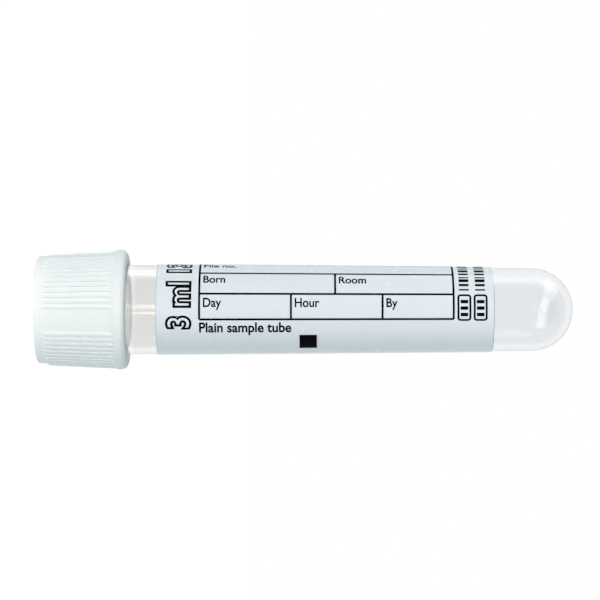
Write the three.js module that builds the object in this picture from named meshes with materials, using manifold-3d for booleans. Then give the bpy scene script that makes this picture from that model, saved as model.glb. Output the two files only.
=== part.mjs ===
// Blood collection tube: a clear plastic tube with a wrap-round label, closed by a ribbed safety cap
// that holds a rubber stopper and a flat ring.
//
// Millimetres, +Z up. The tube's axis is Z. The object stands on its cap, so z = 0 is the cap's flat top
// face and the round end of the tube points up. Angles run around Z from the -Y direction towards +X.

import * as THREE from "three";
import { mergeVertices } from "three/addons/utils/BufferGeometryUtils.js";
import Module from "manifold-3d";

const wasm = await Module();
wasm.setup();

// ---- Facets ----------------------------------------------------------------------------------------

const facetCount = 64; // around every round piece; also the number of rib pitches around the cap
const arcSteps = 4; // in a quarter turn of a rounded edge
const domeSteps = 10; // in the quarter turn of the tube's round end

// ---- Tube ------------------------------------------------------------------------------------------

const tubeLength = 75;
const mouthRadius = 6.6; // outside, at the open end
const domeRadius = 6.0; // outside, at the round end
const tubeWall = 1.0;
const rimRounding = 0.25;

// ---- Label -----------------------------------------------------------------------------------------

const labelLength = 48.3;
const labelStart = 14.9; // from the tube's mouth
const labelThickness = 0.1;
const labelGap = 0.02; // between the tube and the film, for its glue
const windowFacets = 6; // facets left open at the back, as a strip to see the sample through

// ---- Cap -------------------------------------------------------------------------------------------

const capLength = 13.1;
const capWall = 1.1; // at the smooth band round the cap's top
const capTopRounding = 0.4;
const bandHeight = 1.3; // smooth band below the ribs
const skirtFlare = 0.38; // growth of the skirt's radius from the band to the lip
const skirtClearance = 0.1; // between the skirt and the tube's mouth
const shoulderStep = 0.35; // the tube's rim stops on this step inside the cap
const snapLipHeight = 0.25; // keeps the ring and the stopper in the cap
const snapLipWidth = 0.25;
const ribHeight = 0.27;
const ribTopShare = 0.4; // of a pitch
const ribFootShare = 0.78;
const ribRamp = 0.5; // length of the sloped start of each rib
const panelCount = 4; // smooth grip panels
const panelPitches = 4; // rib pitches left out for each panel
const panelAngle = 11.4; // degrees, middle of the first panel
const lipRounding = 1.0; // radius of the lip's rounded edge
const lipStandout = 0.24; // of the lip beyond the tops of the ribs

// ---- Ring and stopper ------------------------------------------------------------------------------

const seatClearance = 0.05; // between pieces that seat on each other
const ringThickness = 0.9;
const ringWidth = 2.05;
const ringChamfer = 0.2;
const flangeThickness = 1.2;
const plugLength = 7.0; // of the stopper inside the tube
const plugRounding = 0.8;
const plugWall = 2.2; // around the hollow in the stopper's inner end
const membraneThickness = 3.2; // the rubber that a needle goes through
const dimpleDepth = 1.5; // needle target in the stopper's outer end
const dimpleRadius = 3.0;

// ---- Heights and radii that follow -----------------------------------------------------------------

const ringStart = snapLipHeight + seatClearance;
const flangeStart = ringStart + ringThickness + seatClearance;
const flangeEnd = flangeStart + flangeThickness;
const mouthHeight = flangeEnd + seatClearance;
const domeHeight = mouthHeight + tubeLength - domeRadius;
const tubeTaper = (mouthRadius - domeRadius) / (domeHeight - mouthHeight);

const skirtBore = mouthRadius + skirtClearance;
const seatBore = skirtBore - shoulderStep;
const bandRadius = skirtBore + capWall;
const skirtRadius = bandRadius + skirtFlare;
const lipRadius = skirtRadius + ribHeight + lipStandout;

const pitch = (2 * Math.PI) / facetCount;
const startAngle = THREE.MathUtils.degToRad(panelAngle) - (panelPitches / 2) * pitch;

// ---- Helpers ---------------------------------------------------------------------------------------

/** A point of a profile. */
const point = (radius, height) => new THREE.Vector2(radius, height);

/** Points of an arc about (radius, height); angles in degrees, 0 outwards and 90 up. */
function arc(radius, height, size, from, to, steps) {
  return Array.from({ length: steps + 1 }, (_, i) => {
    const angle = THREE.MathUtils.degToRad(from + ((to - from) * i) / steps);
    return point(radius + size * Math.cos(angle), height + size * Math.sin(angle));
  });
}

/** Radius of the tube's outside at a height. */
const tubeRadiusAt = (height) => mouthRadius - tubeTaper * (height - mouthHeight);

/** Turns a profile about Z, its first facet starting at the edge of a grip panel. */
function turned(profile) {
  return new THREE.LatheGeometry(profile, facetCount, startAngle).rotateX(Math.PI / 2);
}

/** A profile whose last point is its first, for a ring that stays off the axis. */
const closed = (profile) => [...profile, profile[0].clone()];

/** The direction of an angle around Z. */
const outwards = (angle) => new THREE.Vector2(Math.sin(angle), -Math.cos(angle));

/** Moves every vertex outwards by rise(height). */
function flared(geometry, rise) {
  const position = geometry.getAttribute("position");
  for (let i = 0; i < position.count; i += 1) {
    const radius = Math.hypot(position.getX(i), position.getY(i));
    const factor = 1 + rise(position.getZ(i)) / radius;
    position.setX(i, position.getX(i) * factor);
    position.setY(i, position.getY(i) * factor);
  }
  return geometry;
}

/** A closed geometry as a solid that can be joined and cut. */
function solidOf(geometry) {
  const bare = geometry.clone();
  bare.deleteAttribute("normal");
  bare.deleteAttribute("uv");
  const merged = mergeVertices(bare);
  return new wasm.Manifold(
    new wasm.Mesh({
      numProp: 3,
      vertProperties: Float32Array.from(merged.getAttribute("position").array),
      triVerts: Uint32Array.from(merged.getIndex().array),
    }),
  );
}

/** The geometry of a solid. */
function geometryOf(solid) {
  const mesh = solid.getMesh();
  const geometry = new THREE.BufferGeometry();
  geometry.setAttribute("position", new THREE.BufferAttribute(mesh.vertProperties, 3));
  geometry.setIndex(new THREE.BufferAttribute(mesh.triVerts, 1));
  geometry.computeVertexNormals();
  return geometry;
}

function piece(name, geometry, look) {
  const mesh = new THREE.Mesh(geometry, new THREE.MeshStandardMaterial({ metalness: 0, ...look }));
  mesh.name = name;
  return mesh;
}

// ---- Pieces ----------------------------------------------------------------------------------------

/** Test-tube shape: a tapered wall, a round closed end and a rounded rim. */
function makeTube() {
  const innerDome = domeRadius - tubeWall;
  const rimInside = mouthRadius - tubeWall;
  const rimHeight = mouthHeight + rimRounding;
  const profile = [
    ...arc(0, domeHeight, innerDome, 90, 0, domeSteps),
    ...arc(rimInside + rimRounding, rimHeight, rimRounding, 180, 270, 2),
    ...arc(mouthRadius - rimRounding, rimHeight, rimRounding, 270, 360, 2),
    ...arc(0, domeHeight, domeRadius, 0, 90, domeSteps),
  ];
  profile[0].x = 0;
  profile[profile.length - 1].x = 0;
  return piece("tube", turned(profile), {
    color: "#e9edee",
    roughness: 0.08,
    transparent: true,
    opacity: 0.35,
  });
}

/** Film wrapped round the tube, following its taper and leaving a strip open at the back. */
function makeLabel() {
  const start = mouthHeight + labelStart;
  const inside = tubeRadiusAt(start) + labelGap;
  const wrapped = facetCount - windowFacets;
  const firstCorner = Math.ceil((Math.PI - startAngle) / pitch + windowFacets / 2);
  const corners = Array.from({ length: wrapped + 1 }, (_, i) => {
    return outwards(startAngle + (firstCorner + i) * pitch);
  });
  const outline = [
    ...corners.map((corner) => corner.clone().multiplyScalar(inside + labelThickness)),
    ...corners.reverse().map((corner) => corner.clone().multiplyScalar(inside)),
  ];
  const film = new THREE.ExtrudeGeometry(new THREE.Shape(outline), {
    depth: labelLength,
    bevelEnabled: false,
  });
  flared(film, (height) => -tubeTaper * height);
  film.translate(0, 0, start);
  return piece("label", film, { color: "#dfe7ea", roughness: 0.45 });
}

/** The cap without its ribs: top face, smooth band, flared skirt, rounded lip and stepped bore. */
function makeCapShell() {
  const lipMiddle = capLength - lipRounding;
  const lipCentre = lipRadius - lipRounding;
  const lipFrom = -THREE.MathUtils.radToDeg(Math.acos((skirtRadius - lipCentre) / lipRounding));
  const snapBore = seatBore - snapLipWidth;
  return turned(
    closed([
      point(snapBore, 0),
      ...arc(bandRadius - capTopRounding, capTopRounding, capTopRounding, -90, 0, arcSteps),
      point(bandRadius, bandHeight),
      ...arc(lipCentre, lipMiddle, lipRounding, lipFrom, 90, 2 * arcSteps),
      point(skirtBore, capLength),
      point(skirtBore, mouthHeight - seatClearance),
      point(seatBore, mouthHeight - seatClearance),
      point(seatBore, snapLipHeight),
      point(snapBore, snapLipHeight),
    ]),
  );
}

/** All ribs at once: a toothed ring that follows the skirt's flare and starts with a slope. */
function makeRibs() {
  const foot = bandRadius - capWall / 2;
  const top = bandRadius + ribHeight;
  const perPanel = facetCount / panelCount;
  const outline = [];
  for (let i = 0; i < facetCount; i += 1) {
    const middle = startAngle + (i + 0.5) * pitch;
    const corner = (share, radius) => outwards(middle + share * pitch).multiplyScalar(radius);
    outline.push(corner(-0.5, foot));
    if (i % perPanel >= panelPitches) {
      outline.push(corner(-ribFootShare / 2, bandRadius));
      outline.push(corner(-ribTopShare / 2, top));
      outline.push(corner(ribTopShare / 2, top));
      outline.push(corner(ribFootShare / 2, bandRadius));
    }
  }
  const hole = Array.from({ length: facetCount }, (_, i) => {
    return outwards(startAngle + i * pitch).multiplyScalar(foot - capWall / 4);
  });
  const ring = new THREE.Shape(outline);
  ring.holes.push(new THREE.Path(hole));
  const ribEnd = capLength - lipRounding;
  const ribLength = ribEnd - bandHeight;
  const ribs = new THREE.ExtrudeGeometry(ring, { depth: ribLength, bevelEnabled: false });
  flared(ribs, (height) => (skirtFlare * height) / ribLength);
  ribs.translate(0, 0, bandHeight);

  const beyond = lipRadius + 1;
  const envelope = turned(
    closed([
      point(foot - capWall / 2, bandHeight),
      point(bandRadius, bandHeight),
      point(top, bandHeight + ribRamp),
      point(beyond, bandHeight + ribRamp),
      point(beyond, ribEnd),
      point(foot - capWall / 2, ribEnd),
    ]),
  );
  return solidOf(ribs).intersect(solidOf(envelope));
}

function makeCap() {
  const cap = solidOf(makeCapShell()).add(makeRibs());
  return piece("cap", geometryOf(cap), { color: "#eef3f3", roughness: 0.42 });
}

/** Flat ring around the needle target. */
function makeCapRing() {
  const outside = seatBore - 2 * seatClearance;
  const inside = outside - ringWidth;
  const ringEnd = ringStart + ringThickness;
  const ring = turned(
    closed([
      point(inside + ringChamfer, ringStart),
      point(outside, ringStart),
      point(outside, ringEnd),
      point(inside, ringEnd),
      point(inside, ringStart + ringChamfer),
    ]),
  );
  return piece("cap_ring", ring, { color: "#f1f4f4", roughness: 0.4 });
}

/** Rubber stopper: a flange that closes the mouth, and a plug with a hollow inner end. */
function makeStopper() {
  const plugEnd = flangeEnd + plugLength;
  const boreAt = (height) => tubeRadiusAt(height) - tubeWall - seatClearance;
  const plugEndRadius = boreAt(plugEnd);
  const hollow = plugEndRadius - plugWall;
  const dimpleEnd = flangeStart + dimpleDepth;
  const flangeRadius = seatBore - seatClearance;
  const profile = [
    point(0, dimpleEnd),
    point(dimpleRadius, dimpleEnd),
    point(dimpleRadius, flangeStart),
    point(flangeRadius, flangeStart),
    point(flangeRadius, flangeEnd),
    point(boreAt(flangeEnd), flangeEnd),
    ...arc(plugEndRadius - plugRounding, plugEnd - plugRounding, plugRounding, 0, 90, arcSteps),
    point(hollow, plugEnd),
    point(hollow, dimpleEnd + membraneThickness),
    point(0, dimpleEnd + membraneThickness),
  ];
  return piece("stopper", turned(profile), { color: "#5b5f62", roughness: 0.75 });
}

const bloodTube = new THREE.Group();
bloodTube.add(makeTube(), makeLabel(), makeCap(), makeCapRing(), makeStopper());

export default bloodTube;
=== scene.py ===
"""Dresses a blood collection tube: clear tube, wrap-round label, ribbed cap, ring and stopper.

Everything is in metres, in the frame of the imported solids: the tube's axis is Z, the object stands on
its cap at z = 0, and the middle of the label's printed side faces -Y.
"""

import math

import bmesh
import bpy
from bpy.props import FloatProperty, FloatVectorProperty, PointerProperty, StringProperty
from mathutils import Matrix, Vector


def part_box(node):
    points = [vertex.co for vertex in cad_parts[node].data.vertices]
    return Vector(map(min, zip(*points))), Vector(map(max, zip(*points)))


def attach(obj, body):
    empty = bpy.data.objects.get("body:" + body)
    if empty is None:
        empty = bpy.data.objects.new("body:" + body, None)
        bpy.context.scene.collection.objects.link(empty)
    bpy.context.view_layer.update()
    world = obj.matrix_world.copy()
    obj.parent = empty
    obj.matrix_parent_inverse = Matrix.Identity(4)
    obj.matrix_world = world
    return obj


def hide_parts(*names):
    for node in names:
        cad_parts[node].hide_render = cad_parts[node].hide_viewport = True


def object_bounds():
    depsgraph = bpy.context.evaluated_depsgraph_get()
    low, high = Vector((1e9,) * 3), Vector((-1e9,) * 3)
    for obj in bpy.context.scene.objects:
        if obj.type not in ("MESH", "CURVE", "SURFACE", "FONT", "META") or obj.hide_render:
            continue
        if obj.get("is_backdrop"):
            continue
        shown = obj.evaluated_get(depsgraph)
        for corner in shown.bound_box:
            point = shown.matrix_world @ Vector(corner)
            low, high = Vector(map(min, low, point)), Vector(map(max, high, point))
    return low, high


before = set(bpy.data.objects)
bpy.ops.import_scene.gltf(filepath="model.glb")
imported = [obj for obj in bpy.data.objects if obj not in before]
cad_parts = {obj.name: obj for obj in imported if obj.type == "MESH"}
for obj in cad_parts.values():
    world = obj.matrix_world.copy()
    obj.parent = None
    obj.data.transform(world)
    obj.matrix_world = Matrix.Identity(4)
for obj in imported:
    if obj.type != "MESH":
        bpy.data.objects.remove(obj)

bl_info = {
    "name": "Blood collection tube",
    "version": (1, 0, 0),
    "blender": (4, 5, 0),
    "location": "View3D > Sidebar > Blood tube",
    "description": "Builds a capped and labelled blood collection tube, piece by piece",
    "category": "Add Mesh",
}

MM = 0.001
TAU = 2 * math.pi
SAME_PLACE = 0.001 * MM  # points nearer than this are taken as one

TUBE_BODY = "labelled_tube"
CAP_BODY = "cap_assembly"

TUBE_LOW, TUBE_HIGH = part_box("tube")
LABEL_LOW, LABEL_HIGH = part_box("label")
LABEL_MIDDLE = (LABEL_LOW.z + LABEL_HIGH.z) / 2
CAP_LOW, CAP_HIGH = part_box("cap")
RING_LOW, RING_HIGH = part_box("cap_ring")
STOPPER_LOW, STOPPER_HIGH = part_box("stopper")

RIB_PITCHES = 64  # around the cap
CORNERS_PER_PITCH = 4  # points of a turned piece in each rib pitch
CORNERS = RIB_PITCHES * CORNERS_PER_PITCH
PANELS = 4  # smooth grip panels of the cap
PANEL_PITCHES = 4  # rib pitches left out for each panel
PANEL_MIDDLE = math.radians(11.4)  # of the first panel, from -Y towards +X
FIRST_CORNER = PANEL_MIDDLE - PANEL_PITCHES / 2 * TAU / RIB_PITCHES  # a corner at the panel's side
SHARP_ANGLE = 40  # degrees; edges that turn by more stay sharp or are rounded with a bevel


# ---- Colours and sizes that a user would change ----------------------------------------------------


def linear(colour):
    """An sRGB hex colour as linear red, green, blue and alpha."""
    channels = [int(colour[i : i + 2], 16) / 255 for i in (1, 3, 5)]
    return (*(c / 12.92 if c <= 0.04045 else ((c + 0.055) / 1.055) ** 2.4 for c in channels), 1.0)


def size_of(name, description, default):
    """A length property, in metres."""
    return FloatProperty(
        name=name, description=description, default=default, min=0, precision=5, unit="LENGTH"
    )


def colour_of(name, description, default):
    """A colour property, given as an sRGB hex colour."""
    return FloatVectorProperty(
        name=name, description=description, default=linear(default), min=0, max=1, size=4, subtype="COLOR"
    )


class TubeSizes(bpy.types.PropertyGroup):
    """Sizes of the clear tube"""

    mouth_radius: size_of("Mouth radius", "Outside, at the open end", TUBE_HIGH.x)
    dome_radius: size_of("Dome radius", "Outside, at the round end", 6.0 * MM)
    wall: size_of("Wall", "Thickness of the tube's wall", 1.0 * MM)
    rim_rounding: size_of("Rim rounding", "Radius of the edges of the open end", 0.25 * MM)


class LabelSizes(bpy.types.PropertyGroup):
    """Sizes of the label film and its print"""

    thickness: size_of("Film", "Thickness of the film", 0.1 * MM)
    gap: size_of("Glue", "Space between the tube and the film", 0.02 * MM)
    ink: size_of("Ink", "Thickness of a layer of ink", 0.01 * MM)
    line: size_of("Line", "Width of the lines of the form", 0.29 * MM)
    caption: size_of("Captions", "Height of the capitals in the form", 1.33 * MM)
    title: size_of("Title", "Height of the capitals under the form", 1.53 * MM)
    mark: size_of("Volume mark", "Height of the outlined figures beside the cap", 3.25 * MM)


class CapSizes(bpy.types.PropertyGroup):
    """Sizes of the cap, its ring and the stopper"""

    wall: size_of("Wall", "Thickness of the cap at its smooth band", 1.1 * MM)
    top_rounding: size_of("Top rounding", "Radius of the edge of the cap's top", 0.4 * MM)
    band: size_of("Band", "Height of the smooth band before the ribs", 1.3 * MM)
    flare: size_of("Flare", "Growth of the skirt's radius from the band to the lip", 0.43 * MM)
    skirt_clearance: size_of("Skirt clearance", "Between the skirt and the tube", 0.1 * MM)
    shoulder: size_of("Shoulder", "Width of the step that the tube's rim stops on", 0.35 * MM)
    snap_lip: size_of("Snap lip", "Width and height of the lip that keeps the ring in", 0.25 * MM)
    rib: size_of("Rib height", "How far a rib stands out of the skirt", 0.29 * MM)
    rib_ramp: size_of("Rib ramp", "Length of the slope at the start of a rib", 0.5 * MM)
    rib_rounding: size_of("Rib rounding", "Width of the rounding along the ribs' edges", 0.13 * MM)
    lip_width: size_of("Lip width", "Length of the cap that its lip takes", 2.46 * MM)
    lip_rise: size_of("Lip rise", "Length over which the skirt swells into the lip", 1.16 * MM)
    lip_rounding: size_of("Lip rounding", "Radius of the lip's edge", 1.0 * MM)
    lead_in: size_of("Lead-in", "Radius of the rounding at the mouth of the bore", 0.65 * MM)
    seat: size_of("Seat clearance", "Between pieces that seat on each other", 0.05 * MM)
    ring_width: size_of("Ring width", "Of the flat ring around the needle target", 2.05 * MM)
    plug_wall: size_of("Plug wall", "Around the hollow in the stopper's inner end", 2.2 * MM)
    membrane: size_of("Membrane", "Thickness of the rubber that a needle goes through", 3.2 * MM)
    dimple_depth: size_of("Dimple depth", "Of the needle target", 1.5 * MM)
    dimple_radius: size_of("Dimple radius", "Of the needle target", 3.0 * MM)


class Colours(bpy.types.PropertyGroup):
    """Colours of the finishes"""

    pet: colour_of("PET", "Clear tube", "#F0F2F4")
    # Painted shade: the tube gets a greyer tint near its mouth; its wall is no thicker there.
    shaded_pet: colour_of("Thick PET", "Clear tube near its mouth, where its wall is thickest", "#EAE9E7")
    cap: colour_of("Cap", "White polyethylene of the cap", "#EDF1F1")
    ring: colour_of("Ring", "White polyethylene of the ring", "#EBEEED")
    rubber: colour_of("Rubber", "Bromobutyl rubber of the stopper", "#5B5F62")
    film: colour_of("Film", "Polypropylene film of the label", "#E0E6EC")
    black_ink: colour_of("Black ink", "Print of the label", "#030405")
    white_ink: colour_of("White ink", "Inside of the outlined figures", "#E8ECF2")
    floor: colour_of("Floor", "Pale floor", "#F5F5F5")


class LabelWords(bpy.types.PropertyGroup):
    """Plain words on the label"""

    volume: StringProperty(name="Volume mark", description="Outlined figures", default="3 ml 13 x 75")
    title: StringProperty(name="Title", description="Line under the form", default="Plain sample tube")


# ---- Modelling helpers -----------------------------------------------------------------------------


def deselect_all():
    """Leaves edit mode and selects nothing."""
    if bpy.context.object and bpy.context.object.mode == "EDIT":
        bpy.ops.object.mode_set(mode="OBJECT")
    bpy.ops.object.select_all(action="DESELECT")


def pick_points(piece, wanted):
    """In edit mode, selects just the points whose place is wanted, and the faces between them."""
    shape = bmesh.from_edit_mesh(piece.data)
    for face in shape.faces:
        face.select_set(False)
    for edge in shape.edges:
        edge.select_set(False)
    for vertex in shape.verts:
        vertex.select_set(wanted(vertex.co))
    shape.select_flush(True)
    bmesh.update_edit_mesh(piece.data)


def radius_of(place):
    """Distance from the axis."""
    return math.hypot(place.x, place.y)


def angle_of(place):
    """Angle around Z, from -Y towards +X, between 0 and a full turn."""
    return math.atan2(place.x, -place.y) % TAU


def arc(radius, height, size, start, end, steps):
    """Points of an arc of a profile; angles in degrees, 0 outwards and 90 up."""
    angles = [math.radians(start + (end - start) * i / steps) for i in range(steps + 1)]
    return [(radius + size * math.cos(a), height + size * math.sin(a)) for a in angles]


def on_ring(ring):
    """A test for the points of one ring of a turned piece."""
    radius, height = ring

    def is_on_ring(place):
        return abs(radius_of(place) - radius) < SAME_PLACE and abs(place.z - height) < SAME_PLACE

    return is_on_ring


def pull_ring(start, end):
    """Extrudes the selected ring and moves and scales it to its next place."""
    (radius, height), (next_radius, next_height) = start, end
    bpy.ops.mesh.extrude_region_move(TRANSFORM_OT_translate={"value": (0, 0, next_height - height)})
    scale = next_radius / radius
    bpy.ops.transform.resize(value=(scale, scale, 1), center_override=(0, 0, next_height))


def close_on_axis(piece, ring, height):
    """Draws a ring in to a point on the axis."""
    pick_points(piece, on_ring(ring))
    bpy.ops.mesh.extrude_region_move(TRANSFORM_OT_translate={"value": (0, 0, height - ring[1])})
    bpy.ops.mesh.merge(type="CENTER")


def turned(name, profile):
    """A closed turned piece, drawn out ring by ring along its profile of radii and heights.

    A profile that starts and ends off the axis is closed on itself.
    """
    rings = [ring for ring in profile if ring[0] > 0]
    deselect_all()
    bpy.ops.mesh.primitive_circle_add(
        vertices=CORNERS, radius=rings[0][0], location=(0, 0, rings[0][1]), rotation=(0, 0, FIRST_CORNER)
    )
    piece = bpy.context.object
    piece.name = piece.data.name = name
    bpy.ops.object.transform_apply(location=True, rotation=True)
    bpy.ops.object.mode_set(mode="EDIT")
    bpy.ops.mesh.select_mode(type="VERT")
    bpy.ops.mesh.select_all(action="SELECT")
    for start, end in zip(rings, rings[1:]):
        pull_ring(start, end)
    if profile[0][0] == 0:
        close_on_axis(piece, rings[0], profile[0][1])
        close_on_axis(piece, rings[-1], profile[-1][1])
    else:
        first, last = on_ring(rings[0]), on_ring(rings[-1])
        pick_points(piece, lambda place: first(place) or last(place))
        bpy.ops.mesh.bridge_edge_loops()
    bpy.ops.mesh.select_all(action="SELECT")
    bpy.ops.mesh.normals_make_consistent(inside=False)
    bpy.ops.object.mode_set(mode="OBJECT")
    return piece


def select_only(piece):
    """Selects one piece and makes it the active one."""
    deselect_all()
    piece.select_set(True)
    bpy.context.view_layer.objects.active = piece


def modified(piece, name, kind, **settings):
    """Adds a modifier to the piece and applies it."""
    select_only(piece)
    modifier = piece.modifiers.new(name, kind)
    for setting, value in settings.items():
        setattr(modifier, setting, value)
    bpy.ops.object.modifier_apply(modifier=modifier.name)


def smoothed(piece):
    """Smooth shading, apart from sharp edges."""
    select_only(piece)
    bpy.ops.object.shade_smooth_by_angle(angle=math.radians(SHARP_ANGLE))


def finished(piece, material, body, *nodes, slot=None):
    """Gives a piece its material, the body it rides on and the nodes it stands for. Its slot is not used."""
    piece.data.materials.clear()
    piece.data.materials.append(material)
    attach(piece, body)
    if nodes:
        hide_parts(*nodes)


# ---- Materials -------------------------------------------------------------------------------------


def new_material(name):
    """A material that has no nodes yet."""
    material = bpy.data.materials.new(name)
    material.use_nodes = True
    material.node_tree.nodes.clear()
    return material


def add_node(material, kind, inputs=(), **settings):
    """Adds a node to a material or to the world.

    Inputs are pairs of a socket and its value, or the output that feeds it.
    """
    node = material.node_tree.nodes.new(kind)
    for setting, value in settings.items():
        setattr(node, setting, value)
    for socket, value in inputs:
        if isinstance(value, bpy.types.NodeSocket):
            material.node_tree.links.new(value, node.inputs[socket])
        else:
            node.inputs[socket].default_value = value
    return node


def moulded_surface(material, grain, height, low, high):
    """Grain of a moulded or coated surface: its roughness and normal outputs.

    The size and height of the grain are in metres, and the roughness runs from low to high.
    """
    place = add_node(material, "ShaderNodeTexCoord")
    noise = add_node(
        material,
        "ShaderNodeTexNoise",
        [("Vector", place.outputs["Object"]), ("Scale", 1 / grain), ("Detail", 3.0)],
    )
    roughness = add_node(
        material,
        "ShaderNodeMapRange",
        [("Value", noise.outputs["Fac"]), ("To Min", low), ("To Max", high)],
    )
    bump = add_node(
        material,
        "ShaderNodeBump",
        [("Height", noise.outputs["Fac"]), ("Strength", 0.5), ("Distance", height)],
    )
    return roughness.outputs["Result"], bump.outputs["Normal"]


def surface_output(material, shader):
    """Ends a material's nodes with its output."""
    add_node(material, "ShaderNodeOutputMaterial", [("Surface", shader)])
    return material


def tint_along(material, height, start, end, first, second):
    """A colour that changes from the first to the second between two heights."""
    stretch = [("Value", height), ("From Min", start), ("From Max", end)]
    share = add_node(material, "ShaderNodeMapRange", stretch)
    tints = [(0, share.outputs[0]), (6, first), (7, second)]
    return add_node(material, "ShaderNodeMix", tints, data_type="RGBA").outputs[2]


def clear_pet(colours):
    """Injection-moulded clear PET: glassy, with a very slight ripple that bends its highlights.

    Its colour is greyer towards the mouth, which is painted shade, as its wall is no thicker there, and
    inside the cap it has no tint, which is painted light that makes the shaded white bore seen through it
    lighter. It lets lamps through, so that what is behind it is lit.
    """
    material = new_material("PET_moulded_clear")
    roughness, normal = moulded_surface(material, 4.0 * MM, 0.01 * MM, 0.06, 0.1)
    place = add_node(material, "ShaderNodeTexCoord")
    along = add_node(material, "ShaderNodeSeparateXYZ", [(0, place.outputs["Object"])])
    height = along.outputs["Z"]
    # Painted shade: greyer towards the mouth, fading out along the tube
    full_shade_until, no_shade_from = 18 * MM, 60 * MM
    tint_with_painted_shade = tint_along(material, height, full_shade_until, no_shade_from, colours.shaded_pet, colours.pet)
    # Painted light: no tint inside the cap, so that the shaded bore seen through the wall looks lighter
    tint = tint_along(material, height, CAP_HIGH.z, CAP_HIGH.z + 1 * MM, (1, 1, 1, 1), tint_with_painted_shade)
    shader = add_node(
        material,
        "ShaderNodeBsdfPrincipled",
        [
            ("Base Color", tint),
            ("Roughness", roughness),
            ("Normal", normal),
            ("IOR", 1.575),
            ("Transmission Weight", 1.0),
        ],
    )
    path = add_node(material, "ShaderNodeLightPath")
    let_through = add_node(material, "ShaderNodeBsdfTransparent")
    shaders = [(0, path.outputs["Is Shadow Ray"]), (1, shader.outputs[0]), (2, let_through.outputs[0])]
    mixed = add_node(material, "ShaderNodeMixShader", shaders)
    return surface_output(material, mixed.outputs[0])


def white_polyethylene(name, colour):
    """Injection-moulded white polyethylene: opaque, with a satin face that spreads its highlights."""
    material = new_material(name)
    roughness, normal = moulded_surface(material, 0.25 * MM, 0.004 * MM, 0.44, 0.56)
    shader = add_node(
        material,
        "ShaderNodeBsdfPrincipled",
        [("Base Color", colour), ("Roughness", roughness), ("Normal", normal), ("IOR", 1.51)],
    )
    return surface_output(material, shader.outputs["BSDF"])


def bromobutyl_rubber(colours):
    """Moulded bromobutyl rubber: dull, with a fine grain."""
    material = new_material("bromobutyl_rubber_moulded")
    roughness, normal = moulded_surface(material, 0.3 * MM, 0.01 * MM, 0.65, 0.8)
    shader = add_node(
        material,
        "ShaderNodeBsdfPrincipled",
        [("Base Color", colours.rubber), ("Roughness", roughness), ("Normal", normal), ("IOR", 1.52)],
    )
    return surface_output(material, shader.outputs["BSDF"])


def label_film(colours):
    """Satin polypropylene film: smooth, and slightly uneven from its glue.

    It lets some light through to its back, and its face reflects more at glancing angles.
    """
    material = new_material("PP_film_satin")
    roughness, normal = moulded_surface(material, 1.5 * MM, 0.006 * MM, 0.22, 0.3)
    shader = add_node(
        material,
        "ShaderNodeBsdfPrincipled",
        [
            ("Base Color", colours.film),
            ("Roughness", roughness),
            ("Normal", normal),
            ("IOR", 1.49),
            ("Subsurface Weight", 0.5),
            ("Subsurface Radius", (1.0, 1.0, 1.0)),
            ("Subsurface Scale", 0.1 * MM),
            ("Coat Weight", 0.4),
            ("Coat Roughness", 0.25),
        ],
    )
    return surface_output(material, shader.outputs["BSDF"])


def printing_ink(name, colour):
    """Printing ink: dense and almost matt, so that it stays dark under the lamps."""
    material = new_material(name)
    roughness, normal = moulded_surface(material, 0.2 * MM, 0.002 * MM, 0.4, 0.52)
    shader = add_node(
        material,
        "ShaderNodeBsdfPrincipled",
        [("Base Color", colour), ("Roughness", roughness), ("Normal", normal), ("Specular IOR Level", 0.02)],
    )
    return surface_output(material, shader.outputs["BSDF"])


# ---- Pieces ----------------------------------------------------------------------------------------


def tube_radius_at(sizes, height):
    """Outside radius of the tapered tube."""
    dome_height = TUBE_HIGH.z - sizes.dome_radius
    share = (height - TUBE_LOW.z) / (dome_height - TUBE_LOW.z)
    return sizes.mouth_radius + (sizes.dome_radius - sizes.mouth_radius) * share


class BLOODTUBE_OT_tube(bpy.types.Operator):
    """Adds the clear tube: tapered wall, round closed end and rounded rim"""

    bl_idname = "blood_tube.tube"
    bl_label = "Clear tube"

    def execute(self, context):
        scene = context.scene
        sizes = scene.tube_sizes
        dome_height = TUBE_HIGH.z - sizes.dome_radius
        rounding = sizes.rim_rounding
        rim = TUBE_LOW.z + rounding
        inside = sizes.mouth_radius - sizes.wall
        middle = (rim + dome_height) / 2
        # Rings close to the ends of the long wall keep its shading, and what is seen through it, straight.
        wall = [rim + 0.1 * MM, rim + 1 * MM, middle, dome_height - 1 * MM, dome_height - 0.1 * MM]
        outer_wall = [(tube_radius_at(sizes, height), height) for height in wall]
        inner_wall = [(radius - sizes.wall, height) for radius, height in reversed(outer_wall)]
        profile = [
            (0, dome_height + sizes.dome_radius - sizes.wall),
            *arc(0, dome_height, sizes.dome_radius - sizes.wall, 88, 0, 22),
            *inner_wall,
            *arc(inside + rounding, rim, rounding, 180, 270, 4),
            *arc(sizes.mouth_radius - rounding, rim, rounding, 270, 360, 4),
            *outer_wall,
            *arc(0, dome_height, sizes.dome_radius, 0, 88, 22),
            (0, TUBE_HIGH.z),
        ]
        tube = turned("tube_body", profile)
        smoothed(tube)
        finished(tube, clear_pet(scene.tube_colours), TUBE_BODY, "tube", slot="clear_pet")
        return {"FINISHED"}


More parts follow.
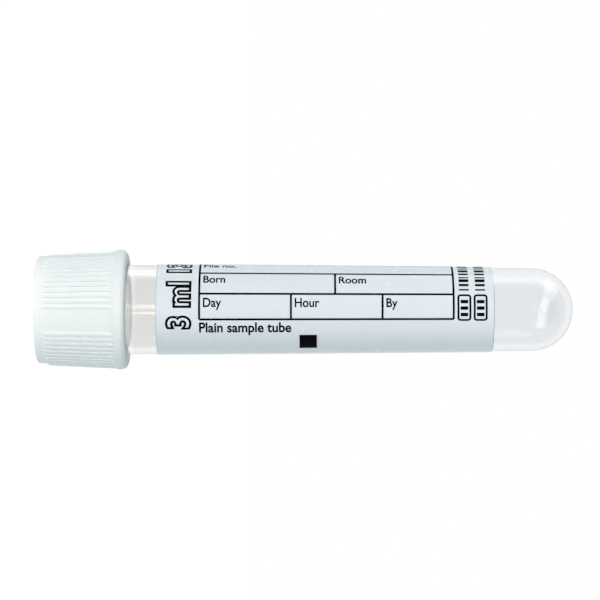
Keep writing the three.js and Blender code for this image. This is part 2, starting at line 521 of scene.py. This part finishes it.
class BLOODTUBE_OT_cap(bpy.types.Operator):
    """Adds the cap: smooth band, flared skirt, four groups of ribs, rounded lip and stepped bore"""

    bl_idname = "blood_tube.cap"
    bl_label = "Ribbed cap"

    def shell_profile(self, sizes, tube, ramp_end):
        """The cap without its ribs, as radii and heights."""
        bore = tube.mouth_radius + sizes.skirt_clearance
        seat_bore = bore - sizes.shoulder
        shoulder_height = TUBE_LOW.z - sizes.seat
        band_radius = bore + sizes.wall
        skirt_radius = band_radius + sizes.flare
        lip_start = CAP_HIGH.z - sizes.lip_width
        rounding = sizes.lip_rounding
        steps = 8
        swell = [(1 - math.cos(math.pi * i / steps)) / 2 for i in range(steps + 1)]
        lip = [
            (skirt_radius + (CAP_HIGH.x - skirt_radius) * share, lip_start + sizes.lip_rise * i / steps)
            for i, share in enumerate(swell)
        ]
        lip += arc(CAP_HIGH.x - rounding, CAP_HIGH.z - rounding, rounding, 0, 90, 10)
        slope = sizes.flare / (lip_start - sizes.band)
        return [
            (seat_bore - sizes.snap_lip, CAP_LOW.z),
            *arc(band_radius - sizes.top_rounding, sizes.top_rounding, sizes.top_rounding, -90, 0, 8),
            (band_radius, sizes.band),
            (band_radius + slope * (ramp_end - sizes.band), ramp_end),
            *lip,
            *arc(bore + sizes.lead_in, CAP_HIGH.z - sizes.lead_in, sizes.lead_in, 90, 180, 8),
            (bore, shoulder_height),
            (seat_bore, shoulder_height),
            (seat_bore, sizes.snap_lip),
            (seat_bore - sizes.snap_lip, sizes.snap_lip),
        ]

    def raise_ribs(self, cap, rings):
        """Raises each rib out of the skirt, from a ramp at the band to where it runs into the lip.

        Rings hold the skirt's radius, the height, and the radius of the ribs' crests.
        """
        bpy.ops.object.mode_set(mode="EDIT")
        bpy.ops.mesh.select_mode(type="FACE")
        shape = bmesh.from_edit_mesh(cap.data)
        low, high = rings[0][1], rings[-1][1]
        per_panel = RIB_PITCHES // PANELS
        skin = 0.1 * MM  # the bore lies deeper than this
        for face in shape.faces:
            centre = face.calc_center_median()
            outside = radius_of(centre) > rings[0][0] - skin
            step = int(((angle_of(centre) - FIRST_CORNER) % TAU) / TAU * CORNERS)
            on_rib = step % CORNERS_PER_PITCH in (1, 2)
            ribbed = step // CORNERS_PER_PITCH % per_panel >= PANEL_PITCHES
            face.select_set(outside and low < centre.z < high and on_rib and ribbed)
        bmesh.update_edit_mesh(cap.data)
        bpy.ops.mesh.extrude_region_move(TRANSFORM_OT_translate={"value": (0, 0, 0)})
        bpy.ops.mesh.select_mode(type="VERT")
        shape = bmesh.from_edit_mesh(cap.data)
        raised = [vertex.index for vertex in shape.verts if vertex.select]
        for radius, height, crest in rings[1:-1]:
            shape = bmesh.from_edit_mesh(cap.data)
            shape.verts.ensure_lookup_table()
            bpy.ops.mesh.select_all(action="DESELECT")
            for index in raised:
                vertex = shape.verts[index]
                vertex.select_set(abs(vertex.co.z - height) < SAME_PLACE)
            shape.select_flush(True)
            bmesh.update_edit_mesh(cap.data)
            scale = crest / radius
            bpy.ops.transform.resize(value=(scale, scale, 1), center_override=(0, 0, height))
        bpy.ops.mesh.select_all(action="SELECT")
        bpy.ops.mesh.remove_doubles(threshold=1e-7)
        bpy.ops.object.mode_set(mode="OBJECT")

    def execute(self, context):
        scene = context.scene
        sizes = scene.cap_sizes
        ramp_end = sizes.band + sizes.rib_ramp
        profile = self.shell_profile(sizes, scene.tube_sizes, ramp_end)
        cap = turned("cap_body", profile)
        first = profile.index(next(ring for ring in profile if ring[1] == sizes.band))
        skirt = profile[first + 2]
        slope = sizes.flare / (skirt[1] - sizes.band)
        rings = []
        for radius, height in profile[first:]:
            crest = profile[first][0] + sizes.rib + slope * (height - sizes.band)
            rings.append((radius, height, max(radius, crest)))
            if radius >= crest:
                break
        self.raise_ribs(cap, rings)
        modified(
            cap,
            "Rounded edges",
            "BEVEL",
            width=sizes.rib_rounding,
            segments=2,
            limit_method="ANGLE",
            angle_limit=math.radians(SHARP_ANGLE),
        )
        smoothed(cap)
        material = white_polyethylene("PE_moulded_white", scene.tube_colours.cap)
        finished(cap, material, CAP_BODY, "cap", slot="cap_polyethylene")
        return {"FINISHED"}


class BLOODTUBE_OT_ring(bpy.types.Operator):
    """Adds the flat ring that lies in the cap's open top"""

    bl_idname = "blood_tube.ring"
    bl_label = "Cap ring"

    def execute(self, context):
        scene = context.scene
        inside = RING_HIGH.x - scene.cap_sizes.ring_width
        profile = [
            (inside, RING_LOW.z),
            (RING_HIGH.x, RING_LOW.z),
            (RING_HIGH.x, RING_HIGH.z),
            (inside, RING_HIGH.z),
        ]
        ring = turned("cap_ring_body", profile)
        modified(ring, "Rounded edges", "BEVEL", width=0.15 * MM, segments=3, limit_method="ANGLE")
        smoothed(ring)
        material = white_polyethylene("PE_moulded_ring", scene.tube_colours.ring)
        finished(ring, material, CAP_BODY, "cap_ring", slot="ring_polyethylene")
        return {"FINISHED"}


class BLOODTUBE_OT_stopper(bpy.types.Operator):
    """Adds the rubber stopper: flange, needle target, plug and its hollow inner end"""

    bl_idname = "blood_tube.stopper"
    bl_label = "Rubber stopper"

    def execute(self, context):
        scene = context.scene
        sizes = scene.cap_sizes
        tube = scene.tube_sizes
        flange_end = TUBE_LOW.z - sizes.seat

        def bore_at(height):
            return tube_radius_at(tube, height) - tube.wall - sizes.seat

        plug_radius = bore_at(STOPPER_HIGH.z)
        hollow = plug_radius - sizes.plug_wall
        dimple_end = STOPPER_LOW.z + sizes.dimple_depth
        rounding = 0.8 * MM
        profile = [
            (0, dimple_end),
            (sizes.dimple_radius, dimple_end),
            (sizes.dimple_radius, STOPPER_LOW.z),
            (STOPPER_HIGH.x, STOPPER_LOW.z),
            (STOPPER_HIGH.x, flange_end),
            (bore_at(flange_end), flange_end),
            *arc(plug_radius - rounding, STOPPER_HIGH.z - rounding, rounding, 0, 90, 6),
            (hollow, STOPPER_HIGH.z),
            (hollow, dimple_end + sizes.membrane),
            (0, dimple_end + sizes.membrane),
        ]
        stopper = turned("stopper_body", profile)
        modified(stopper, "Rounded edges", "BEVEL", width=0.12 * MM, segments=3, limit_method="ANGLE")
        smoothed(stopper)
        material = bromobutyl_rubber(scene.tube_colours)
        finished(stopper, material, CAP_BODY, "stopper", slot="stopper_rubber")
        return {"FINISHED"}


def film_radius_at(scene, height):
    """Outside radius of the label film."""
    return tube_radius_at(scene.tube_sizes, height) + scene.label_sizes.gap + scene.label_sizes.thickness


class BLOODTUBE_OT_label(bpy.types.Operator):
    """Adds the label film, wrapped round the tube with a strip left open at the back"""

    bl_idname = "blood_tube.label"
    bl_label = "Label film"

    def execute(self, context):
        scene = context.scene
        sizes = scene.label_sizes
        gap_start, gap_end = math.radians(167.4375), math.radians(201.1875)  # the open strip
        inside_low = film_radius_at(scene, LABEL_LOW.z) - sizes.thickness
        inside_high = film_radius_at(scene, LABEL_HIGH.z) - sizes.thickness
        deselect_all()
        bpy.ops.mesh.primitive_cylinder_add(
            vertices=CORNERS,
            radius=inside_low,
            depth=LABEL_HIGH.z - LABEL_LOW.z,
            end_fill_type="NOTHING",
            location=(0, 0, LABEL_MIDDLE),
            rotation=(0, 0, FIRST_CORNER),
        )
        film = bpy.context.object
        film.name = film.data.name = "label_film"
        bpy.ops.object.transform_apply(location=True, rotation=True)
        bpy.ops.object.mode_set(mode="EDIT")
        bpy.ops.mesh.select_mode(type="VERT")
        pick_points(film, lambda place: place.z > LABEL_MIDDLE)
        taper = inside_high / inside_low
        bpy.ops.transform.resize(value=(taper, taper, 1), center_override=(0, 0, LABEL_HIGH.z))
        bpy.ops.mesh.select_mode(type="FACE")
        shape = bmesh.from_edit_mesh(film.data)
        for face in shape.faces:
            face.select_set(gap_start < angle_of(face.calc_center_median()) < gap_end)
        bmesh.update_edit_mesh(film.data)
        bpy.ops.mesh.delete(type="FACE")
        bpy.ops.object.mode_set(mode="OBJECT")
        modified(film, "Film", "SOLIDIFY", thickness=sizes.thickness, offset=1)
        smoothed(film)
        finished(film, label_film(scene.tube_colours), TUBE_BODY, "label", slot="label_film")
        return {"FINISHED"}


# ---- Print of the label ----------------------------------------------------------------------------
# The print is laid out flat in the XZ plane: X runs along the tube from the label's end beside the cap,
# and Z runs around it, with Z = 0 on the middle line of the printed side. It is then wrapped.

CAPITAL_SHARE = 0.73  # height of a capital letter as a share of the text size
NARROWING = 0.9  # width of the letters as a share of their usual width


def flat_text(body, along, around, capital, weight, turned_up=False):
    """A line of text with its first baseline point at (along, around), thickened by its weight."""
    bpy.ops.object.text_add(
        radius=capital / CAPITAL_SHARE,
        location=(along, 0, around),
        rotation=(math.pi / 2, -math.pi / 2 if turned_up else 0, 0),
    )
    text = bpy.context.object
    text.data.body = body
    text.data.offset = weight
    text.scale.x *= NARROWING
    bpy.ops.object.convert(target="MESH")
    bpy.ops.object.transform_apply(location=True, rotation=True, scale=True)
    return bpy.context.object


def flat_bar(along, around, length, height):
    """A plain bar from its lower left corner."""
    bpy.ops.mesh.primitive_plane_add(
        size=1, location=(along + length / 2, 0, around + height / 2), rotation=(math.pi / 2, 0, 0)
    )
    bar = bpy.context.object
    bar.scale = (length, height, 1)
    bpy.ops.object.transform_apply(location=True, rotation=True, scale=True)
    return bar


def flat_frame(along, around, length, height, rounding, line):
    """The outline of a rectangle with rounded corners."""
    outline = flat_bar(along, around, length, height)
    bpy.ops.object.mode_set(mode="EDIT")
    bpy.ops.mesh.select_all(action="SELECT")
    bpy.ops.mesh.bevel(offset=rounding, segments=4, affect="VERTICES")
    bpy.ops.mesh.inset(thickness=line)
    bpy.ops.mesh.delete(type="FACE")
    bpy.ops.object.mode_set(mode="OBJECT")
    return outline


def joined(name, parts):
    """Joins parts into one piece."""
    deselect_all()
    for part in parts:
        part.select_set(True)
    bpy.context.view_layer.objects.active = parts[0]
    bpy.ops.object.join()
    whole = bpy.context.object
    whole.name = whole.data.name = name
    return whole


def wrapped(piece, film, middle_radius, lift, ink):
    """Bends flat print round the tube, lays it on the film and gives it the thickness of its ink."""
    select_only(piece)
    bpy.ops.object.mode_set(mode="EDIT")
    heights = [vertex.co.z for vertex in bmesh.from_edit_mesh(piece.data).verts]
    low, high = min(heights), max(heights)
    row = 0.25 * MM
    for i in range(1, math.ceil((high - low) / row)):
        bpy.ops.mesh.select_all(action="SELECT")
        bpy.ops.mesh.bisect(plane_co=(0, 0, low + i * row), plane_no=(0, 0, 1))
    bpy.ops.object.mode_set(mode="OBJECT")
    modified(
        piece,
        "Wrap",
        "SIMPLE_DEFORM",
        deform_method="BEND",
        deform_axis="X",
        angle=(high - low) / middle_radius,
    )
    bpy.ops.object.mode_set(mode="EDIT")
    bpy.ops.mesh.select_all(action="SELECT")
    bpy.ops.transform.translate(value=(0, -middle_radius, 0))
    outside = 1.06  # well off the film, before it is drawn in onto it
    bpy.ops.transform.resize(value=(1, outside, outside), center_override=(0, 0, 0))
    bpy.ops.object.mode_set(mode="OBJECT")
    piece.rotation_euler = (0, -math.pi / 2, 0)
    piece.location = (0, 0, LABEL_LOW.z)
    bpy.ops.object.transform_apply(location=True, rotation=True)
    modified(
        piece,
        "On the film",
        "SHRINKWRAP",
        target=film,
        wrap_method="NEAREST_SURFACEPOINT",
        wrap_mode="ABOVE_SURFACE",
        offset=lift,
    )
    modified(piece, "Ink", "SOLIDIFY", thickness=ink, offset=1)


class BLOODTUBE_OT_print(bpy.types.Operator):
    """Adds the print: a write-on form, a volume mark, a title, a square and two small frames"""

    bl_idname = "blood_tube.print"
    bl_label = "Label print"

    def form(self, sizes):
        """The lines and captions of the form."""
        left, right = 6.21 * MM, 42.47 * MM
        bottom, row = -1.36 * MM, 3.65 * MM
        rows = 4
        line = sizes.line
        parts = [flat_bar(left, bottom + i * row - line / 2, right - left, line) for i in range(rows + 1)]
        parts += [flat_bar(x - line / 2, bottom, line, rows * row) for x in (left, right)]
        cells = [
            (0, 0, "Day"),
            (0, 13.07, "Hour"),
            (0, 26.12, "By"),
            (1, 0, "Born"),
            (1, 19.37, "Room"),
            (2, 0, "File no."),
            (3, 0, "Name"),
        ]
        for index, offset, caption in cells:
            start = left + offset * MM
            if offset:
                parts.append(flat_bar(start - line / 2, bottom + index * row, line, row))
            baseline = bottom + (index + 1) * row - 0.55 * MM - sizes.caption
            parts.append(flat_text(caption, start + 0.45 * MM, baseline, sizes.caption, 0.035 * MM))
        return parts

    def small_marks(self):
        """Two rounded frames with short bars in them, and a strip of plain bars beside each."""
        parts = []
        width, height, start = 1.98 * MM, 3.95 * MM, -1.645 * MM
        rounding, line = 0.45 * MM, 0.28 * MM
        margin, strip_margin = 0.45 * MM, 0.25 * MM
        strip_start = start + height + 0.6 * MM
        for along in (43.0 * MM, 45.32 * MM):
            parts.append(flat_frame(along, start, width, height, rounding, line))
            for i in range(3):
                low = start + (0.7 + 0.95 * i) * MM
                parts.append(flat_bar(along + margin, low, width - 2 * margin, 0.5 * MM))
            for i in range(13):
                low = strip_start + 0.75 * i * MM
                thickness = (0.25 + 0.15 * (i % 3)) * MM
                parts.append(flat_bar(along + strip_margin, low, 1.4 * MM, thickness))
        return parts

    def painted_edge_shadows(self):
        """Painted shadow: fine dark lines in black ink at the label's two ends, where the film's edges cast
        shade.
        """
        end = LABEL_HIGH.z - LABEL_LOW.z
        return [
            flat_bar(end - 0.06 * MM, -7.5 * MM, 0.04 * MM, 11.3 * MM),
            flat_bar(0.04 * MM, -9 * MM, 0.02 * MM, 18 * MM),
        ]

    def execute(self, context):
        scene = context.scene
        sizes = scene.label_sizes
        words = scene.label_words
        film = bpy.data.objects["label_film"]
        deselect_all()
        middle_radius = film_radius_at(scene, LABEL_MIDDLE)
        mark_place = (1.5 * MM + sizes.mark, -2.8 * MM)
        title_place = (6.1 * MM, -3.27 * MM)
        square_place, square_size = (20.5 * MM, -6.55 * MM), (2.5 * MM, 2.75 * MM)
        black = [
            flat_text(words.volume, *mark_place, sizes.mark, 0.33 * MM, turned_up=True),
            *self.form(sizes),
            *self.small_marks(),
            flat_text(words.title, *title_place, sizes.title, 0.05 * MM),
            flat_bar(*square_place, *square_size),
            # painted shadow lines along the label's two ends
            *self.painted_edge_shadows(),
        ]
        black_print_and_edge_shadows = joined("label_print", black)
        lift = 0.003 * MM  # off the film, so that the two don't share a face
        wrapped(black_print_and_edge_shadows, film, middle_radius, lift, sizes.ink)
        ink = printing_ink("ink_black", scene.tube_colours.black_ink)
        finished(black_print_and_edge_shadows, ink, TUBE_BODY, slot="label_ink")

        white_print = flat_text(words.volume, *mark_place, sizes.mark, -0.02 * MM, turned_up=True)
        white_print.name = white_print.data.name = "label_print_white"
        wrapped(white_print, film, middle_radius, lift + 2 * sizes.ink, sizes.ink)
        ink = printing_ink("ink_white", scene.tube_colours.white_ink)
        finished(white_print, ink, TUBE_BODY, slot="label_film")
        return {"FINISHED"}


# ---- Stage -----------------------------------------------------------------------------------------


class BLOODTUBE_OT_stage(bpy.types.Operator):
    """Adds the pale floor, the soft lights, the white surroundings and the camera"""

    bl_idname = "blood_tube.stage"
    bl_label = "Stage"

    def add_seen(self, material):
        """1 for rays that show a thing to the eye, also through or off another thing, and 0 for light."""
        path = add_node(material, "ShaderNodeLightPath")
        seen = path.outputs["Is Camera Ray"]
        for kind in ("Is Glossy Ray", "Is Transmission Ray"):
            inputs = [(0, seen), (1, path.outputs[kind])]
            seen = add_node(material, "ShaderNodeMath", inputs, operation="MAXIMUM").outputs[0]
        return seen

    def add_floor(self, colour):
        """A pale floor. It glows a little, and more where it is seen, so that it is white to the eye."""
        deselect_all()
        bpy.ops.mesh.primitive_plane_add(size=3.0, location=(0, 0, -0.02 * MM))
        floor = bpy.context.object
        floor.name = "floor"
        material = new_material("floor_matt_white")
        diffuse = add_node(material, "ShaderNodeBsdfDiffuse", [("Color", colour)])
        glow = add_node(material, "ShaderNodeEmission", [("Color", (1, 1, 1, 1)), ("Strength", 1.85)])
        added_glow, least_glow = 0.36, 0.14  # shares of the surface that glow: where seen, and always
        inputs = [(0, self.add_seen(material)), (1, added_glow), (2, least_glow)]
        share = add_node(material, "ShaderNodeMath", inputs, operation="MULTIPLY_ADD")
        shaders = [(0, share.outputs[0]), (1, diffuse.outputs[0]), (2, glow.outputs[0])]
        mixed = add_node(material, "ShaderNodeMixShader", shaders)
        floor.data.materials.append(surface_output(material, mixed.outputs[0]))
        floor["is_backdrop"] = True

    def add_surroundings(self, scene):
        """White to the eye and in reflections. Matt surfaces get a cooler light, dimmer from above."""
        world = bpy.data.worlds.new("white_surroundings")
        world.use_nodes = True
        world.node_tree.nodes.clear()
        scene.world = world
        direction = add_node(world, "ShaderNodeTexCoord")
        height = add_node(world, "ShaderNodeSeparateXYZ", [(0, direction.outputs["Generated"])])
        dimming = [("Value", height.outputs["Z"]), ("To Min", 0.62), ("To Max", 0.08)]
        strength = add_node(world, "ShaderNodeMapRange", dimming).outputs[0]
        cool = [("Color", linear("#DAFBFF")), ("Strength", strength)]
        light = add_node(world, "ShaderNodeBackground", cool)
        white = add_node(world, "ShaderNodeBackground", [("Color", linear("#FFFFFF")), ("Strength", 1.0)])
        shaders = [(0, self.add_seen(world)), (1, light.outputs[0]), (2, white.outputs[0])]
        mixed = add_node(world, "ShaderNodeMixShader", shaders)
        add_node(world, "ShaderNodeOutputWorld", [("Surface", mixed.outputs[0])])

    def add_lamp(self, name, place, target, size, power, colour):
        """A soft lamp. Size is its width and height."""
        deselect_all()
        bpy.ops.object.light_add(type="AREA", location=place)
        lamp = bpy.context.object
        lamp.name = name
        lamp.data.shape = "RECTANGLE"
        lamp.data.size, lamp.data.size_y = size
        lamp.data.energy = power
        lamp.data.color = linear(colour)[:3]
        lamp.rotation_euler = (Vector(target) - Vector(place)).to_track_quat("-Z", "Y").to_euler()
        return lamp

    def add_strip(self, name, start, end, width, power):
        """A long lamp that is only seen as a reflection, between two directions from the round end."""
        distance = 0.9
        dome = Vector((0, 0, TUBE_HIGH.z - bpy.context.scene.tube_sizes.dome_radius))
        place = dome + (start + end) / 2 * distance
        lamp = self.add_lamp(name, place, dome, ((end - start).length * distance, width), power, "#F8FFFF")
        out = (place - dome).normalized()
        side = out.cross(end - start).normalized()
        lamp.rotation_euler = Matrix((side.cross(out), side, out)).transposed().to_euler()
        lamp.visible_diffuse = False

    def add_lamps(self, target):
        """The lamps around the object. Small ones are there to be reflected in the clear wall."""
        # Name, place, width and height, power, colour, and whether it lights matt surfaces and is reflected.
        lamps = (
            ("key_light", (-0.24, -0.97, 0.15), (0.9, 0.1), 6.75, "#FFF6F4", True, False),
            ("side_card", (-0.55, 0.05, 0.3), (0.35, 0.5), 0.6, "#FFFFFF", False, True),
            ("rim_light", (0.69, 0.58, 0.05), (0.4, 0.3), 2.0, "#EAF5FF", True, False),
            ("rim_light", (-0.69, 0.58, 0.05), (0.4, 0.3), 0.9, "#EAF5FF", True, False),
            ("neck_card", (-0.15, 0.05, 0.009), (0.07, 0.013), 0.0045, "#FFFFFF", True, True),
            ("strip_light", (-0.034, -0.248, 0.0075), (0.05, 0.013), 0.0065, "#FFE2C1", True, True),
            ("low_strip_light", (0.04, -0.247, 0.0075), (0.02, 0.013), 0.003, "#FFFAF0", True, True),
        )
        for name, place, size, power, colour, lights, is_reflected in lamps:
            lamp = self.add_lamp(name, place, target, size, power, colour)
            lamp.visible_diffuse = lights
            lamp.visible_glossy = is_reflected
            lamp.visible_transmission = is_reflected
        curve = [(-0.72, 0.37, 0.59), (-0.5, -0.63, 0.59), (0.02, -0.88, 0.45), (0.78, -0.54, 0.32)]
        strips = ((0.42, 1.1), (0.32, 1.3), (0.36, 1.5))  # widths and powers, fainter and wider at the top
        for i, (width, power) in enumerate(strips):
            self.add_strip(f"dome_strip_{i}", Vector(curve[i]), Vector(curve[i + 1]), width, power)

    def add_camera(self, scene, middle):
        """Level and turned on its side, so that the cap is on the left.

        The object's middle stands a little off the middle of the view.
        """
        distance = 345 * MM
        shown = 87 * MM
        deselect_all()
        bpy.ops.object.camera_add()
        camera = bpy.context.object
        camera.name = "camera"
        camera.data.lens = camera.data.sensor_width * distance / shown
        camera.data.clip_start = 10 * MM
        camera.data.clip_end = 10
        turned_left = Matrix(((0, -1, 0), (0, 0, -1), (1, 0, 0))).to_4x4()
        aside, lowered = -1.39 * MM, 0.78 * MM
        place = Vector((aside, -distance, middle - lowered))
        camera.matrix_world = Matrix.Translation(place) @ turned_left
        scene.camera = camera

    def execute(self, context):
        scene = context.scene
        low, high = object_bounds()
        middle = (low.z + high.z) / 2
        self.add_floor(scene.tube_colours.floor)
        self.add_surroundings(scene)
        self.add_lamps((0, 0, middle))
        self.add_camera(scene, middle)
        scene.view_settings.view_transform = "Standard"
        return {"FINISHED"}


# ---- Add-on ----------------------------------------------------------------------------------------

STEPS = (
    BLOODTUBE_OT_tube,
    BLOODTUBE_OT_cap,
    BLOODTUBE_OT_ring,
    BLOODTUBE_OT_stopper,
    BLOODTUBE_OT_label,
    BLOODTUBE_OT_print,
    BLOODTUBE_OT_stage,
)


class BLOODTUBE_PT_panel(bpy.types.Panel):
    """Lists the steps that build the tube"""

    bl_label = "Blood collection tube"
    bl_space_type = "VIEW_3D"
    bl_region_type = "UI"
    bl_category = "Blood tube"

    def draw(self, context):
        for step in STEPS:
            self.layout.operator(step.bl_idname)


GROUPS = {
    "tube_sizes": TubeSizes,
    "label_sizes": LabelSizes,
    "cap_sizes": CapSizes,
    "tube_colours": Colours,
    "label_words": LabelWords,
}


def register():
    for group in GROUPS.values():
        bpy.utils.register_class(group)
    for name, group in GROUPS.items():
        setattr(bpy.types.Scene, name, PointerProperty(type=group))
    for step in (*STEPS, BLOODTUBE_PT_panel):
        bpy.utils.register_class(step)


def unregister():
    for step in (*STEPS, BLOODTUBE_PT_panel):
        bpy.utils.unregister_class(step)
    for name, group in GROUPS.items():
        delattr(bpy.types.Scene, name)
        bpy.utils.unregister_class(group)


def main():
    register()
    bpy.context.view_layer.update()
    bpy.ops.blood_tube.tube()
    bpy.ops.blood_tube.cap()
    bpy.ops.blood_tube.ring()
    bpy.ops.blood_tube.stopper()
    bpy.ops.blood_tube.label()
    bpy.ops.blood_tube.print()
    bpy.ops.blood_tube.stage()


if __name__ == "__main__":
    main()
